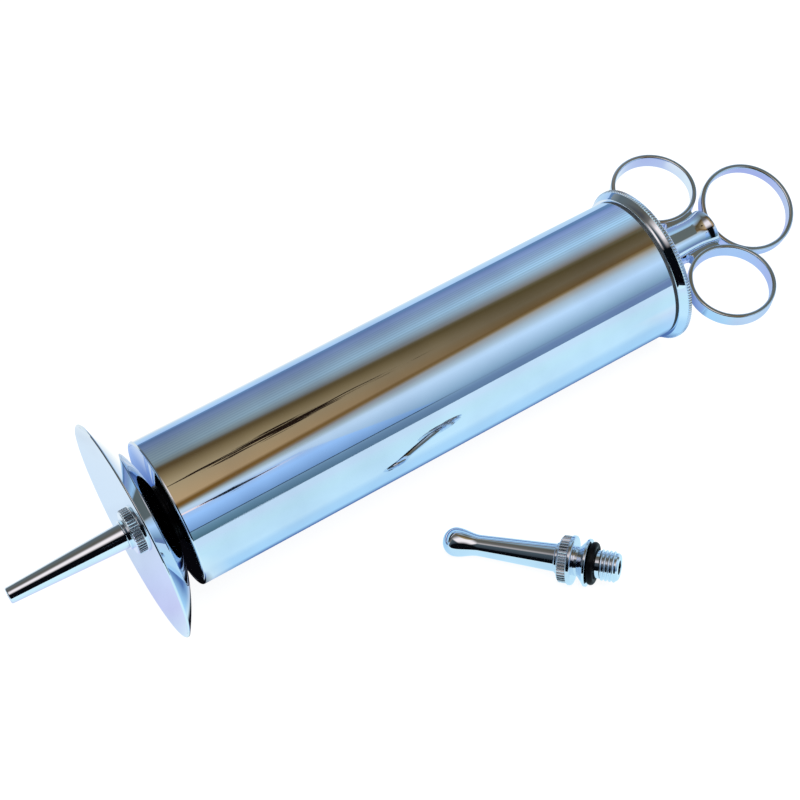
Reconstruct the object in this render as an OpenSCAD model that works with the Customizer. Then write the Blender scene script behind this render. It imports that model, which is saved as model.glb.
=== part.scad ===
// Three-ring metal ear syringe with a splash shield, and a spare olive-tipped nozzle beside it.
// Millimetres, +Z up, the table at z = 0. The syringe lies on the rims of its shield and its cap,
// with its nozzle towards -X, and the origin is under the middle of everything that lies there.

/* [Barrel] */
// Outer diameter of the barrel tube
barrel_od = 45; // [40:0.5:50]
// Wall of the barrel tube
barrel_wall = 1.2; // [0.9:0.1:1.8]
// Length of the barrel tube
barrel_len = 161.7; // [120:0.1:200]
// Rounding of the tube's front edge
barrel_edge = 0.8; // [0.3:0.1:0.8]
// Thickness of the disc that closes the front
front_plate_t = 3; // [2:0.1:4]
// Length of the threaded bush in that disc
socket_len = 9; // [8:0.1:12]
// Wall of the threaded bush
socket_wall = 2; // [1.5:0.1:3]
// Width of the bush's flange behind the disc
socket_flange_w = 2; // [1:0.1:4]
// Thickness of the bush's flange
socket_flange_t = 1.6; // [1:0.1:2.5]

/* [Nozzle bases] */
// Outer diameter of the thread
thread_d = 8.9; // [8:0.1:9.6]
// Pitch of the thread
thread_pitch = 1.15; // [0.9:0.05:1.3]
// Depth of the thread
thread_depth = 0.45; // [0.3:0.05:0.5]
// Length of the threaded stub behind the flange
stub_len = 8.8; // [8:0.1:10]
// Water way through the stub
bore_d = 4.1; // [3:0.1:4.6]
// Diameter of the flange
flange_d = 13.7; // [13.2:0.1:16]
// Thickness of the flange's rim
flange_rim = 0.7; // [0.5:0.1:1.5]
// Length of the cone between neck and flange
flange_cone = 2.1; // [1.5:0.1:3]
// Plain run between the seal and the first thread
relief = 0.4; // [0.2:0.1:1]
// Diameter of the neck between wheel and flange
neck_d = 8.6; // [8:0.1:10]
// Length of the neck
neck_len = 1.3; // [0.8:0.1:3]
// Diameter of the wheel's smooth rear lip
lip_d = 14.3; // [14:0.1:16]
// Width of the lip
lip_w = 1.4; // [0.8:0.1:2]
// Diameter of the knurled wheel over its teeth
wheel_d = 13.6; // [13:0.1:15]
// Width of the knurled wheel
wheel_w = 2.8; // [2:0.1:4]
// Teeth on the wheel
wheel_teeth = 44; // [36:1:60]
// Depth of the wheel's teeth
wheel_tooth = 0.35; // [0.2:0.05:0.5]
// Diameter of the small collar in front of the wheel
bead_d = 9; // [8.6:0.1:11]
// Length of that collar
bead_w = 1.2; // [0.8:0.1:2]

/* [Nozzle tubes] */
// Length of the straight nozzle's tube in front of its base
straight_len = 35; // [25:0.1:50]
// Diameter at the straight nozzle's tip
straight_tip_d = 4.8; // [4.4:0.1:6]
// Diameter at the straight nozzle's root
straight_root_d = 7.6; // [6.6:0.1:8.4]
// Length of the olive nozzle's tube in front of its base
olive_len = 34; // [25:0.1:50]
// Largest diameter of the olive
olive_d = 8.5; // [7.5:0.1:10]
// Place of that largest diameter, from the tip
olive_at = 3.9; // [3.2:0.1:5]
// Place of the narrow waist behind the olive, from the tip
waist_at = 11; // [9:0.1:14]
// Diameter of the waist behind the olive
waist_d = 6.2; // [5.4:0.1:7]
// Diameter at the olive nozzle's root
olive_root_d = 8.1; // [7:0.1:8.5]
// Outlet hole of both tips
outlet_d = 2.2; // [1.2:0.1:2.6]
// Length of the narrow outlet in both tips
outlet_len = 4; // [2:0.5:10]
// Diameter of a tube's tail inside its base
tail_d = 6; // [5.6:0.1:6.4]
// Length of that tail
tail_len = 5; // [3:0.1:6]

/* [Seals and shield] */
// Thickness of the rubber rings behind the flanges
seal_section = 2.1; // [1.8:0.1:2.4]
// Outer diameter of those rings
seal_od = 12.4; // [12.2:0.1:13]
// Thickness of the washer behind the shield
washer_t = 0.5; // [0.3:0.1:1]
// Diameter of the washer behind the shield
washer_d = 17; // [13:0.1:17]
// Diameter of the splash shield
shield_d = 66.7; // [56:0.1:76]
// Depth of the shield, from its flat middle to its rim
shield_depth = 9.8; // [7:0.1:12]
// Sheet thickness of the shield
shield_t = 0.7; // [0.5:0.1:1]
// Diameter of the shield's flat middle
shield_flat_d = 18; // [17:0.1:22]

/* [Cap] */
// Thickness of the gasket between barrel and cap
gasket_t = 0.5; // [0.3:0.1:1]
// Diameter of the cap over its knurled rim
cap_d = 50; // [48:0.1:54]
// Height of the cap behind the gasket
cap_h = 4; // [3.6:0.1:6]
// Step from the barrel out to the foot of the cap's shoulder
cap_step = 0.9; // [0.4:0.1:1.2]
// Width of the knurled rim
cap_knurl_w = 1.3; // [1:0.1:2]
// Teeth on the rim
cap_teeth = 166; // [130:1:190]
// Depth of the rim's teeth
cap_tooth = 0.35; // [0.2:0.05:0.5]
// Length of the threaded skirt, which screws into the barrel's end
skirt_len = 8.6; // [7:0.1:9]
// Wall of the skirt
skirt_wall = 3; // [2:0.1:4]
// Pitch of the cap's thread
cap_pitch = 1.5; // [1.2:0.1:2]
// Depth of the cap's thread
cap_thread_depth = 0.6; // [0.4:0.05:0.7]

/* [Guide post] */
// Length of the post behind the cap
post_len = 25; // [24:0.1:34]
// Diameter of the post's waist
post_waist_d = 12; // [11:0.1:13]
// Diameter of the post's rear end
post_end_d = 14; // [13.4:0.1:14.6]
// Diameter of the post's foot on the cap
post_foot_d = 19; // [17:0.1:24]
// Diameter of the post's spigot inside the cap
spigot_d = 15; // [14:0.1:17]
// Length of that spigot
spigot_len = 8; // [7.6:0.1:9]
// Diameter of the chamber for the packing
chamber_d = 10.4; // [9:0.1:11]
// Length of the packing
packing_len = 4; // [3:0.1:4.6]
// Diameter of the packing nut's head
nut_head_d = 13; // [12:0.1:14.4]
// Thickness of the packing nut's head
nut_head_t = 1.6; // [1:0.1:2]

/* [Rings] */
// Inner diameter of the finger rings
finger_bore_d = 24.4; // [21:0.1:27]
// Thickness of the finger rings' strip
finger_t = 1.4; // [1:0.1:2]
// Width of the finger rings' strip
finger_w = 4.8; // [3.6:0.1:6]
// Distance from the cap's rear face to the finger rings' centres
finger_at = 19.1; // [19:0.1:23]
// Web between the post's waist and each finger ring
web_t = 0.7; // [0.4:0.1:1.5]
// Fillet of the web
web_fillet = 1; // [0.6:0.1:2]
// Inner diameter of the thumb ring
thumb_bore_d = 27.4; // [23:0.1:28]
// Thickness of the thumb ring's strip
thumb_t = 1.5; // [1:0.1:2]
// Width of the thumb ring's strip
thumb_w = 3.8; // [3:0.1:5]
// Length of the thumb ring's neck
thumb_neck_len = 0.4; // [0.3:0.1:3]
// Diameter of the thumb ring's neck
thumb_neck_d = 8.4; // [7:0.1:10]
// Turn of the thumb ring about the rod, as it lies
thumb_roll = 11.6; // [0:0.1:20]

/* [Plunger] */
// Diameter of the rod
rod_d = 6; // [5:0.1:6.6]
// Diameter of the rod's threaded ends
rod_end_d = 4.2; // [3.4:0.1:4.6]
// Gap between the bush and the piston nut, with the plunger fully in
front_gap = 1; // [0.5:0.1:10]
// Thickness of the piston nut
piston_nut_t = 3; // [2:0.1:5]
// Width of the piston nut across its flats
piston_nut_w = 8; // [7:0.1:10]
// Thickness of each piston plate
piston_plate_t = 2; // [1.5:0.1:3]
// Thickness of the leather
leather_t = 1.5; // [1:0.1:2]
// Depth of each cup leather, over its lip
cup_depth = 5; // [4:0.1:7]
// Length of the spacer between the leathers
spacer_len = 6; // [3:0.1:12]
// Diameter of the spacer
spacer_d = 32; // [20:0.5:36]

/* [Fits] */
// Radial running fit of threads and rod
running = 0.08; // [0.03:0.01:0.1]
// Radial gap between the leather lips and the barrel
lip_gap = 0.08; // [0.03:0.01:0.1]
// Gap between seats that part when a joint moves
seat_gap = 0.1; // [0.05:0.05:0.3]
// Gap between the thumb ring's neck and the post at rest
stop_gap = 0.3; // [0.2:0.1:0.6]
// Radial gap between a nozzle's thread and the hole of shield and washer
hole_gap = 0.2; // [0.1:0.05:0.4]
// Gap left between the piston and the cap's skirt at full stroke
end_gap = 0.5; // [0.3:0.1:2]

/* [Resting] */
// Roll of the syringe on the table, which lowers its right finger ring
roll = 10.8; // [-15:0.1:20]
// Place of the olive tip behind the barrel's front, along the table
spare_x = 66.8; // [40:0.1:100]
// Place of the olive tip beside the syringe's axis
spare_y = -36.3; // [-60:0.1:-34]
// Heading of the spare nozzle on the table
spare_turn = -49.1; // [-80:0.1:-20]

/* [Hidden] */
$fn = 96;

plated = [0.82, 0.85, 0.9];
rubber = [0.09, 0.09, 0.1];
brass = [0.8, 0.65, 0.35];
leather = [0.45, 0.3, 0.18];

// Edge breaks: small chamfers, the ends of tips and stubs, and the strips of the rings
edge = 0.3;
fine_edge = 0.2;
end_round = 0.5;
finger_round = 0.45;
thumb_round = 0.5;
// How deep a knurl's band reaches into the piece below its roots, and how far that piece stays clear
knurl_sink = 1;
knurl_clear = 0.05;

// Barrel radii
barrel_r = barrel_od / 2;
bore_r = barrel_r - barrel_wall;

// Nozzle base, measured along its axis from the flange's rear face towards the tip
rim_x = flange_rim;
cone_x = rim_x + flange_cone;
neck_x = cone_x + neck_len;
lip_x = neck_x + lip_w;
wheel_x = lip_x + wheel_w;
base_len = wheel_x + bead_w;
thread_r = thread_d / 2;
root_r = thread_r - thread_depth;
relief_len = seal_section + relief;
socket_bore_r = thread_r + running;
socket_r = socket_bore_r + socket_wall;

// Stack on the barrel's front, as distances in front of it
washer_x = -seat_gap;
shield_x = washer_x - washer_t;
seal_x = shield_x - shield_t;
flange_x = seal_x - seal_section - seat_gap;
shield_rim_x = shield_x - shield_depth;
shield_hole_r = thread_r + hole_gap;

// Stack on the barrel's rear
gasket_x = barrel_len + seat_gap;
cap_x = gasket_x + gasket_t;
cap_rear_x = cap_x + cap_h;
skirt_r = bore_r - running;
skirt_end_x = cap_x - skirt_len;
post_end_x = cap_rear_x + post_len;
spigot_end_x = cap_rear_x - spigot_len;
packing_inset = 0.5;
packing_x = cap_rear_x - packing_inset - packing_len;
rod_bore_r = rod_d / 2 + running;

// Rings
finger_r = finger_bore_d / 2 + finger_t;
finger_x = cap_rear_x + finger_at;
finger_y = post_waist_d / 2 + web_t + finger_r;
thumb_r = thumb_bore_d / 2 + thumb_t;
neck_face_x = post_end_x + stop_gap;
thumb_x = neck_face_x + thumb_neck_len + thumb_r;
rod_end_x = neck_face_x + thumb_neck_len + thumb_t;

// Piston, from the front
nut_x = socket_len + front_gap;
front_plate_x = nut_x + piston_nut_t;
front_cup_x = front_plate_x + piston_plate_t;
spacer_x = front_cup_x + leather_t;
rear_cup_x = spacer_x + spacer_len;
rear_plate_x = rear_cup_x + leather_t;
shoulder_x = rear_plate_x + piston_plate_t;
lip_r = bore_r - lip_gap;
plate_r = lip_r - leather_t - seat_gap;
piston_bore_r = rod_end_d / 2 + running;
stroke = skirt_end_x - (rear_cup_x + cup_depth) - end_gap;

// Travel of the two screws, past their last thread
past_thread = 0.2;
nozzle_travel = flange_x + stub_len + past_thread;
cap_travel = skirt_len + past_thread;

// The syringe rests on two rims, so their radii and places give its tilt and height
rest_tilt = atan((shield_d / 2 - cap_d / 2) / (cap_rear_x - shield_rim_x));
rest_h = shield_rim_x * sin(rest_tilt) + shield_d / 2 * cos(rest_tilt);

// The spare nozzle rests on its lip and its olive
spare_len = olive_len + base_len;
spare_lip_at = spare_len - neck_x - lip_w / 2;
spare_tilt = asin((lip_d - olive_d) / 2 / (spare_lip_at - olive_at));
above_table = 0.02;
spare_h = (olive_d / 2 + above_table) / cos(spare_tilt) - olive_at * sin(spare_tilt);

// Reach of the whole, for the origin under its middle
tip_x = flange_x - base_len - straight_len;
reach_front = tip_x * cos(rest_tilt) - (straight_tip_d / 2 - end_round) * sin(rest_tilt);
thumb_low = (thumb_w / 2 - thumb_round) * cos(thumb_roll + roll);
reach_rear = (thumb_x + thumb_r) * cos(rest_tilt) + thumb_low * sin(rest_tilt);
finger_left = (finger_y + finger_r - finger_round) * cos(roll) + (finger_w / 2 - finger_round) * sin(abs(roll));
reach_left = max(finger_left + finger_round, shield_d / 2);
spare_end = (spare_len + stub_len - end_round) * cos(spare_tilt);
spare_rim = (spare_len - flange_rim) * cos(spare_tilt);
reach_right = min(spare_y + spare_end * sin(spare_turn) - root_r * cos(spare_turn),
    spare_y + spare_rim * sin(spare_turn) - flange_d / 2 * cos(spare_turn));
mid = [(reach_front + reach_rear) / 2, (reach_left + reach_right) / 2];

// The post's outline behind its foot's land: fillet, waist and flare
post_waist_r = post_waist_d / 2;
post_end_r = post_end_d / 2;
post_foot_r = post_foot_d / 2;
foot_land = 0.4;
neck_rise = 0.9;
rear_round = 0.8;
foot_fillet = post_foot_r - post_waist_r - neck_rise;
post_neck_x = cap_rear_x + foot_fillet + foot_land;
flare_end_x = post_end_x - rear_round;
post_outline = concat(arc([post_foot_r, post_neck_x], foot_fillet, -90, -180),
    [for (i = [0:8]) let (t = 1 - i / 8)
        [post_waist_r + neck_rise * (1 - cos(180 * t)) / 2, finger_x - (finger_x - post_neck_x) * t]],
    [for (i = [1:8]) let (t = i / 8)
        [post_waist_r + (post_end_r - post_waist_r) * t * t, finger_x + (flare_end_x - finger_x) * t]]);

// Points of an arc about c
function arc(c, r, a0, a1, n = 6) =
    [for (i = [0:n]) let (a = a0 + (a1 - a0) * i / n) c + r * [cos(a), sin(a)]];

// Outline of a strip with rounded edges, from r0 to r1 and w wide
function strip(r0, r1, w, e) = concat(
    arc([r1 - e, w / 2 - e], e, 0, 90, 4), arc([r0 + e, w / 2 - e], e, 90, 180, 4),
    arc([r0 + e, e - w / 2], e, 180, 270, 4), arc([r1 - e, e - w / 2], e, 270, 360, 4));

// Outline of a straight knurl with V teeth
function knurl(r, depth, teeth) =
    [for (i = [0:2 * teeth - 1]) let (a = i * 180 / teeth) (r - (i % 2) * depth) * [cos(a), sin(a)]];

// A turned piece about the X axis, from points of radius and place
module turned(points) rotate([0, 90, 0]) rotate_extrude() polygon(points);

// A plain ring about the X axis
module ring(r_out, r_in, x0, x1) turned([[r_in, x0], [r_out, x0], [r_out, x1], [r_in, x1]]);

// A flat outline, in the plane across the X axis, extruded from x0 to x1
module slab(x0, x1) rotate([0, 90, 0]) translate([0, 0, x0]) linear_extrude(x1 - x0) children();

// A right-hand thread ridge about the X axis, which fades in and out over half a turn at its ends
module ridge(r_root, r_crest, pitch, x0, turns, steps = 24) {
    count = round(turns * steps);
    least = 0.15;
    sunk = r_root - least;
    half = 0.42 * pitch;
    function fade(i) = min(1, least + 2 * i / steps, least + 2 * (count - i) / steps);
    function at(i, r, dx) =
        [x0 + i * pitch / steps + dx, r * cos(i * 360 / steps), r * sin(i * 360 / steps)];
    points = [for (i = [0:count]) each
        [at(i, sunk, -half), at(i, r_root + (r_crest - r_root) * fade(i), 0), at(i, sunk, half)]];
    sides = [for (i = [0:count - 1], j = [0:2]) let (a = 3 * i + j, b = 3 * i + (j + 1) % 3)
        each [[a, b, a + 3], [b, b + 3, a + 3]]];
    polyhedron(points, concat(sides, [[2, 1, 0], [3 * count, 3 * count + 1, 3 * count + 2]]));
}

// Everything on the syringe's own axis, from x = 0 at the barrel's front, laid on the table
module laid() translate([-mid[0], -mid[1], rest_h]) rotate([0, rest_tilt, 0]) rotate([roll, 0, 0]) children();

// The spare nozzle's own axis, from x = 0 at its tip, laid on the table
module beside() translate([spare_x - mid[0], spare_y - mid[1], spare_h])
    rotate([0, 0, spare_turn]) rotate([0, -spare_tilt, 0]) children();

module barrel_tube() color(plated) laid()
    turned(concat([[bore_r, 0]], arc([barrel_r - barrel_edge, barrel_edge], barrel_edge, -90, 0),
        [[barrel_r, barrel_len], [bore_r, barrel_len]]));

module front_plate() color(plated) laid() ring(bore_r, socket_r, 0, front_plate_t);

// A bush through the front plate, flanged behind it, bored for the nozzles' thread
module nozzle_socket() color(brass) laid() turned([[socket_bore_r, 0], [socket_r, 0],
    [socket_r, front_plate_t], [socket_r + socket_flange_w, front_plate_t],
    [socket_r + socket_flange_w, front_plate_t + socket_flange_t],
    [socket_r, front_plate_t + socket_flange_t],
    [socket_r, socket_len], [socket_bore_r, socket_len]]);

module cap_gasket() color(rubber) laid() ring(barrel_r - fine_edge, skirt_r + fine_edge, gasket_x, cap_x);

// The cap: a low conical shoulder, a finely knurled rim and a threaded skirt inside
module screw_cap() color(plated) laid() {
    front_r = barrel_r + cap_step;
    bulge = 0.25;
    band_end_x = cap_rear_x - edge;
    band_x = band_end_x - cap_knurl_w;
    rim_r = cap_d / 2 - cap_tooth;
    core_r = rim_r - knurl_sink;
    shoulder_r = rim_r - knurl_clear;
    shoulder = [for (i = [1:5]) let (t = i / 5) [front_r + (shoulder_r - front_r) * t * (1 + bulge * (1 - t)),
        cap_x + edge + (band_x - cap_x - edge) * t]];
    skirt_root = skirt_r - cap_thread_depth;
    turned(concat([[spigot_d / 2, cap_x], [skirt_r - skirt_wall, cap_x], [skirt_r - skirt_wall, skirt_end_x],
        [skirt_root, skirt_end_x], [skirt_root, cap_x]],
        arc([front_r - edge, cap_x + edge], edge, -90, -30, 3), shoulder,
        [[core_r, band_x], [core_r, band_end_x], [shoulder_r, band_end_x],
        [shoulder_r - edge, cap_rear_x], [spigot_d / 2, cap_rear_x]]));
    slab(band_x, band_end_x) difference() {
        polygon(knurl(cap_d / 2, cap_tooth, cap_teeth));
        circle(r = core_r - knurl_sink);
    }
    ridge(skirt_root, skirt_r, cap_pitch, skirt_end_x + cap_pitch, skirt_len / cap_pitch - 1.8, 48);
}

// The post: foot, waist and flared end, with the rod's bore and the packing's chamber
module guide_post() color(plated) laid()
    turned(concat([[chamber_d / 2, spigot_end_x], [spigot_d / 2, spigot_end_x],
        [spigot_d / 2, cap_rear_x], [post_foot_r, cap_rear_x]], post_outline,
        arc([post_end_r - rear_round, flare_end_x], rear_round, 0, 90),
        [[rod_bore_r, post_end_x], [rod_bore_r, packing_x + packing_len],
        [chamber_d / 2, packing_x + packing_len]]));

// A finger ring on the side given by its sign, with the web that meets the post's waist
module finger_ring(side) laid() {
    fillet_y = post_waist_r + web_fillet;
    reach = sqrt((finger_r + web_fillet) ^ 2 - (finger_y - fillet_y) ^ 2);
    k = finger_r / (finger_r + web_fillet);
    touch = [reach * k, finger_y - (finger_y - fillet_y) * k];
    inner_y = finger_y - finger_r + finger_t;
    translate([finger_x, side * finger_y, 0]) rotate_extrude()
        polygon(strip(finger_bore_d / 2, finger_r, finger_w, finger_round));
    difference() {
        mirror([0, side < 0 ? 1 : 0, 0]) translate([finger_x, 0, edge - finger_w / 2])
            linear_extrude(finger_w - 2 * edge) difference() {
                polygon([[-reach, post_waist_r / 2], [reach, post_waist_r / 2], [reach, fillet_y], touch,
                    [touch[0] / 2, inner_y], [-touch[0] / 2, inner_y],
                    [-touch[0], touch[1]], [-reach, fillet_y]]);
                for (x = [-reach, reach]) translate([x, fillet_y]) circle(r = web_fillet);
                translate([0, finger_y]) circle(r = finger_r - finger_round);
            }
        turned(concat([[0, cap_rear_x]], post_outline,
            [[post_end_r, finger_x + 2 * reach], [0, finger_x + 2 * reach]]));
    }
}

module finger_ring_left() color(plated) finger_ring(1);

module finger_ring_right() color(plated) finger_ring(-1);

module rod_packing() color(leather) laid()
    ring(chamber_d / 2, rod_bore_r, packing_x, packing_x + packing_len);

// Nut that presses the packing, with two key slots across its head
module packing_nut() color(brass) laid() difference() {
    head_x = spigot_end_x - nut_head_t;
    turned([[rod_bore_r, head_x], [nut_head_d / 2, head_x], [nut_head_d / 2, spigot_end_x],
        [chamber_d / 2, spigot_end_x], [chamber_d / 2, packing_x], [rod_bore_r, packing_x]]);
    for (s = [-1, 1]) translate([head_x, s * nut_head_d / 2, 0])
        cube([nut_head_t, nut_head_d * 0.3, nut_head_t], center = true);
}

// The rod, turned down at its front for the piston and at its rear for the thumb ring
module plunger_rod() color(plated) laid() turned([[0, nut_x], [rod_end_d / 2 - edge, nut_x],
    [rod_end_d / 2, nut_x + edge], [rod_end_d / 2, shoulder_x], [rod_d / 2, shoulder_x],
    [rod_d / 2, neck_face_x], [rod_end_d / 2, neck_face_x], [rod_end_d / 2, rod_end_x], [0, rod_end_x]]);

// The thumb ring and its neck, both bored for the rod's rear end
module thumb_ring() color(plated) laid() rotate([thumb_roll, 0, 0]) difference() {
    union() {
        translate([thumb_x, 0, 0]) rotate_extrude()
            polygon(strip(thumb_bore_d / 2, thumb_r, thumb_w, thumb_round));
        difference() {
            neck_r = thumb_neck_d / 2;
            turned([[0, neck_face_x], [neck_r - fine_edge, neck_face_x], [neck_r, neck_face_x + fine_edge],
                [neck_r - fine_edge, rod_end_x], [0, rod_end_x]]);
            translate([thumb_x, 0, -thumb_neck_d]) cylinder(r = thumb_r - edge, h = 2 * thumb_neck_d);
        }
    }
    ring(rod_end_d / 2, 0, neck_face_x - edge, rod_end_x + edge);
}

module piston_nut() color(brass) laid() slab(nut_x, front_plate_x) difference() {
    circle(d = piston_nut_w / cos(30), $fn = 6);
    circle(d = rod_end_d);
}

module piston_front_plate() color(brass) laid() ring(plate_r, piston_bore_r, front_plate_x, front_cup_x);

// A cup leather from its flat face at x = 0, its lip towards +x
module cup() turned([[piston_bore_r, 0], [lip_r, 0], [lip_r, cup_depth],
    [lip_r - leather_t / 2, cup_depth], [lip_r - leather_t, cup_depth - leather_t / 2],
    [lip_r - leather_t, leather_t], [piston_bore_r, leather_t]]);

module piston_front_cup() color(leather) laid() translate([spacer_x, 0, 0]) mirror([1, 0, 0]) cup();

module piston_spacer() color(brass) laid() ring(spacer_d / 2, piston_bore_r, spacer_x, rear_cup_x);

module piston_rear_cup() color(leather) laid() translate([rear_cup_x, 0, 0]) cup();

module piston_rear_plate() color(brass) laid() ring(plate_r, piston_bore_r, rear_plate_x, shoulder_x);

module shield_washer() color(rubber) laid() ring(washer_d / 2, shield_hole_r, shield_x, washer_x);

// The shield: a flat middle and a spherical dish that opens towards the nozzle's tip
module splash_shield() color(plated) laid() {
    rim = shield_d / 2;
    flat = shield_flat_d / 2;
    drop = ((rim ^ 2 - flat ^ 2) / shield_depth + shield_depth) / 2;
    sphere_r = sqrt(drop ^ 2 + flat ^ 2);
    a0 = 90 - asin(flat / sphere_r);
    a1 = 90 - asin(rim / sphere_r);
    turned(concat([[shield_hole_r, shield_x]], arc([0, shield_x - drop], sphere_r, a0, a1, 16),
        arc([0, shield_x - drop], sphere_r - shield_t, a1, a0, 16), [[shield_hole_r, shield_x - shield_t]]));
}

// A rubber ring about the X axis, whose rear touches x
module seal(x) translate([x - seal_section / 2, 0, 0]) rotate([0, 90, 0]) rotate_extrude()
    translate([(seal_od - seal_section) / 2, 0]) circle(d = seal_section);

// A nozzle's base, from x = 0 at the flange's rear face: bead, wheel, lip, neck, flange and stub
module nozzle_base() {
    wheel_root = wheel_d / 2 - wheel_tooth;
    wheel_edge = wheel_root - knurl_clear;
    core_r = wheel_root - knurl_sink;
    lip_e = min(lip_w / 2, lip_d / 2 - wheel_root - 2 * knurl_clear);
    lip_c = lip_d / 2 - lip_e;
    turned(concat([[tail_d / 2, -base_len], [bead_d / 2 - edge, -base_len], [bead_d / 2, edge - base_len],
        [bead_d / 2, -wheel_x - edge], [bead_d / 2 - edge, -wheel_x], [wheel_edge - edge, -wheel_x],
        [wheel_edge, edge - wheel_x], [core_r, edge - wheel_x], [core_r, -lip_x]],
        arc([lip_c, lip_e - lip_x], lip_e, -90, 0), arc([lip_c, -neck_x - lip_e], lip_e, 0, 90),
        [[neck_d / 2, -neck_x], [neck_d / 2, -cone_x], [flange_d / 2 - fine_edge, -rim_x],
        [flange_d / 2, fine_edge - rim_x], [flange_d / 2, 0], [root_r, 0],
        [root_r, stub_len - end_round], [root_r - end_round, stub_len], [bore_d / 2, stub_len],
        [bore_d / 2, tail_len - base_len], [tail_d / 2, tail_len - base_len]]));
    slab(edge - wheel_x, edge - lip_x) difference() {
        polygon(knurl(wheel_d / 2, wheel_tooth, wheel_teeth));
        circle(r = core_r - knurl_sink);
    }
    ridge(root_r, thread_r, thread_pitch, relief_len + thread_pitch / 2,
        (stub_len - relief_len - end_round) / thread_pitch - 1);
}

// A nozzle's tube from its outline of radius and place, from x = 0 at its tip to its tail
module nozzle_tube(outline, root_r, length)
    turned(concat([[outlet_d / 2, edge]], outline, [[root_r, length], [tail_d / 2, length],
        [tail_d / 2, length + tail_len], [bore_d / 2, length + tail_len], [outlet_d / 2, outlet_len]]));

module straight_nozzle_seal() color(rubber) laid() seal(seal_x);

module straight_nozzle_base() color(plated) laid() translate([flange_x, 0, 0]) nozzle_base();

module straight_nozzle_tube() color(plated) laid() translate([tip_x, 0, 0])
    nozzle_tube(arc([straight_tip_d / 2 - end_round, end_round], end_round, -90, 0),
        straight_root_d / 2, straight_len);

module olive_nozzle_seal() color(rubber) beside() seal(spare_len + seal_section + seat_gap / 2);

module olive_nozzle_base() color(plated) beside() translate([spare_len, 0, 0]) nozzle_base();

// The olive: a rounded nose, its largest diameter, and a smooth run down to the waist
module olive_nozzle_tube() color(plated) beside() {
    nose = [for (i = [0:7]) let (a = 25 + i * 65 / 7) [olive_d / 2 * sin(a), olive_at * (1 - cos(a))]];
    run = [for (i = [1:9]) let (t = i / 9)
        [(olive_d + waist_d + (olive_d - waist_d) * cos(180 * t)) / 4, olive_at + (waist_at - olive_at) * t]];
    outline = concat([nose[0] - [edge, edge / 4]], nose, run);
    nozzle_tube(outline, olive_root_d / 2, olive_len);
}

barrel_tube();
front_plate();
nozzle_socket();
cap_gasket();
screw_cap();
guide_post();
finger_ring_left();
finger_ring_right();
rod_packing();
packing_nut();
plunger_rod();
thumb_ring();
piston_nut();
piston_front_plate();
piston_front_cup();
piston_spacer();
piston_rear_cup();
piston_rear_plate();
shield_washer();
splash_shield();
straight_nozzle_seal();
straight_nozzle_base();
straight_nozzle_tube();
olive_nozzle_seal();
olive_nozzle_base();
olive_nozzle_tube();
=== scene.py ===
# Three-ring metal ear syringe with a splash shield, and a spare olive-tipped nozzle beside it.
# Sizes are millimetres along the syringe's own axis, from the barrel's front towards the thumb ring.
import bpy
from math import asin, atan, atan2, ceil, cos, degrees, pi, radians, sin, sqrt, tan
from mathutils import Matrix, Vector


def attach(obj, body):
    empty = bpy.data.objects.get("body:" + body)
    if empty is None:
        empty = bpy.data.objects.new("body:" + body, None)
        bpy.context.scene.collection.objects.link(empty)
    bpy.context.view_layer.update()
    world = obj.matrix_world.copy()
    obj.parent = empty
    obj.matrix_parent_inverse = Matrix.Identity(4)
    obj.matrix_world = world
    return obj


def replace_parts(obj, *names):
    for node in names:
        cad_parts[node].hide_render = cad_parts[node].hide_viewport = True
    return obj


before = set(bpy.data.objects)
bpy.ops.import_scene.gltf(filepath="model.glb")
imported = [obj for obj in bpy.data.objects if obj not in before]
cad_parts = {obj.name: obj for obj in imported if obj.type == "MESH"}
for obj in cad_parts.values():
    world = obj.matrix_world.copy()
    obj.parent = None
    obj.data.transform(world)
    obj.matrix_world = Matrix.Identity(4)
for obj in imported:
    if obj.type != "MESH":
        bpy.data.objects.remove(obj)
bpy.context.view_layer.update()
scene = bpy.context.scene
scene.view_settings.view_transform = "Standard"
mm = 0.001

# The camera stands above and in front of the syringe, to its right, and is held level but for a small tilt.
# The syringe lies on the rims of its shield and its cap, which gives the lean of its axis, and it is rolled
# a little, so that its right finger ring lies lower.
front_x, axis_y, front_z = -87.0885, 22.1315, 32.8219
rim_drop, rim_distance, roll = 8.35, 176.7, radians(10.8)
laid = (Matrix.Translation((front_x * mm, axis_y * mm, front_z * mm))
        @ Matrix.Rotation(atan(rim_drop / rim_distance), 4, "Y") @ Matrix.Rotation(roll, 4, "X"))
stand, aim = Vector((-63.290, -192.451, 412.374)) * mm, Vector((75.919, -2.691, 0)) * mm
focal_length, film_width, tilt = 72.987, 36, radians(4.7348)
ahead = (aim - stand).normalized()
level = ahead.cross(Vector((0, 0, 1))).normalized()
lens = bpy.data.cameras.new("camera")
lens.lens, lens.sensor_width, lens.clip_start = focal_length, film_width, 0.01
camera = bpy.data.objects.new("camera", lens)
camera.matrix_world = (laid @ Matrix.Translation(stand)
                       @ Matrix((level, level.cross(ahead), -ahead)).transposed().to_4x4()
                       @ Matrix.Rotation(tilt, 4, "Z"))
scene.collection.objects.link(camera)
scene.camera = camera


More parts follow.
